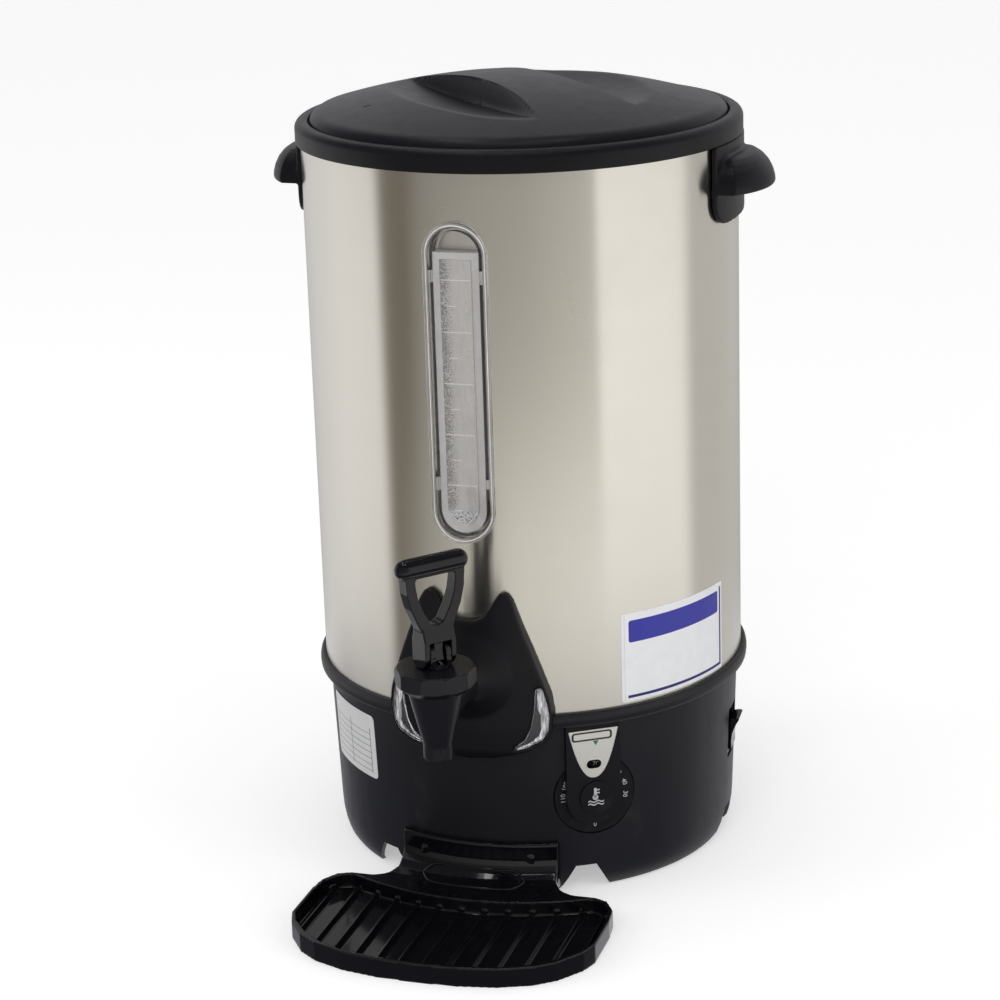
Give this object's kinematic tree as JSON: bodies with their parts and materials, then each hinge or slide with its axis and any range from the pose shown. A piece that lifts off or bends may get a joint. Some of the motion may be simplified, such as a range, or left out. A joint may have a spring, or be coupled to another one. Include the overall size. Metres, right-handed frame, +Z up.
{
  "type": "coffee urn",
  "caption": "Steel coffee urn with a lift-off lid, side handles, upright sight gauge, swivelling lever tap, thermostat dial, rocker switch and slide-in drip tray.",
  "frame": {"origin": "on the urn's axis at the level of the surface it stands on", "axes": "+Z up along the urn's axis, -Y out of the front towards the tap, +X to the right when facing the tap"},
  "size_m": [0.308, 0.3786, 0.4721],
  "materials": {
    "black_plastic": "fine satin texture",
    "gloss_plastic": "glossy moulded",
    "rubber": "matte",
    "zinc_steel": "zinc plated",
    "brushed_steel": "brushed round the body",
    "tank_steel": "deep drawn satin",
    "silicone": "soft matte",
    "clear_plastic": "clear moulded",
    "frosted_plastic": "frosted translucent",
    "lens_plastic": "clear moulded",
    "lamp_amber": "amber lamp",
    "silver_badge": "satin silver",
    "brass": "plated",
    "thermostat_metal": "pressed",
    "aluminium": "cast",
    "element_sheath": "oxidised sheath",
    "ceramic": "glazed",
    "ivory_plastic": "moulded",
    "label_white": "plain label"
  },
  "bodies": {
    "urn": {"base_housing": "black_plastic", "base_plate": "black_plastic", "rubber_feet": "rubber", "base_screws": "zinc_steel", "outer_shell": "brushed_steel", "inner_tank": "tank_steel", "tank_base": "tank_steel", "top_rim": "black_plastic", "handle_left": "black_plastic", "handle_right": "black_plastic", "handle_screws": "zinc_steel", "gauge_window": "clear_plastic", "gauge_gasket": "rubber", "gauge_scale": "frosted_plastic", "gauge_chamber": "frosted_plastic", "gauge_seals": "silicone", "tap_fascia": "black_plastic", "indicator_lens_left": "lens_plastic", "indicator_lens_right": "lens_plastic", "indicator_lamps": "lamp_amber", "tap_body": "black_plastic", "tap_collar": "black_plastic", "stem_gasket": "silicone", "tap_nut": "black_plastic", "tap_washers": "silicone", "dial_bridge": "black_plastic", "control_badge": "silver_badge", "thermostat_body": "thermostat_metal", "rocker_frame": "gloss_plastic", "power_inlet": "black_plastic", "inlet_pins": "brass", "heating_plate": "aluminium", "heating_element": "element_sheath", "sensor_bulb": "brass", "thermal_cutouts": "ceramic", "terminal_block": "ivory_plastic", "side_label": "label_white", "base_label": "label_white"},
    "lid": {"lid_shell": "black_plastic", "lid_liner": "black_plastic", "lid_seal": "silicone", "lid_screws": "zinc_steel"},
    "lever_base": {"stem_head": "gloss_plastic", "lever_pin": "zinc_steel"},
    "lever": {"tap_lever": "gloss_plastic"},
    "stem": {"tap_stem": "black_plastic", "valve_seal": "silicone", "stem_spring": "tank_steel"},
    "dial": {"dial": "black_plastic", "dial_shaft": "brass"},
    "rocker": {"rocker": "gloss_plastic"},
    "tray": {"drip_tray": "gloss_plastic"}
  },
  "joints": [
    {"name": "lid_lift", "type": "slide", "parent": "urn", "child": "lid", "axis": [0, 0, 1], "range_m": [0, 0.06]},
    {"name": "tap_swivel", "type": "hinge", "parent": "urn", "child": "lever_base", "pos_m": [0, -0.19, 0.172], "axis": [0, 0, 1], "range_deg": [-139, 41]},
    {"name": "lever_tilt", "type": "hinge", "parent": "lever_base", "child": "lever", "pos_m": [0, -0.19, 0.178], "axis": [0.6561, 0.7547, 0], "range_deg": [0, 60], "stiffness_Nm_per_rad": 0.08, "springref_deg": -20.05},
    {"name": "stem_push", "type": "slide", "parent": "lever_base", "child": "stem", "axis": [0, 0, -1], "range_m": [0, 0.0032], "deforming": ["stem_spring"]},
    {"name": "dial_turn", "type": "hinge", "parent": "urn", "child": "dial", "pos_m": [0.06483, -0.10098, 0.0625], "axis": [0.5402, -0.8415, 0], "range_deg": [-90, 180]},
    {"name": "switch_rock", "type": "hinge", "parent": "urn", "child": "rocker", "pos_m": [0.12021, 0.00841, 0.066], "axis": [-0.0698, 0.9976, 0], "range_deg": [-28, 0]},
    {"name": "tray_slide", "type": "slide", "parent": "urn", "child": "tray", "axis": [0, -1, 0], "range_m": [0, 0.04]}
  ],
  "couplings": [
    {"joint": "stem_push", "follows": "lever_tilt", "m_per_rad": 0.0028648}
  ]
}
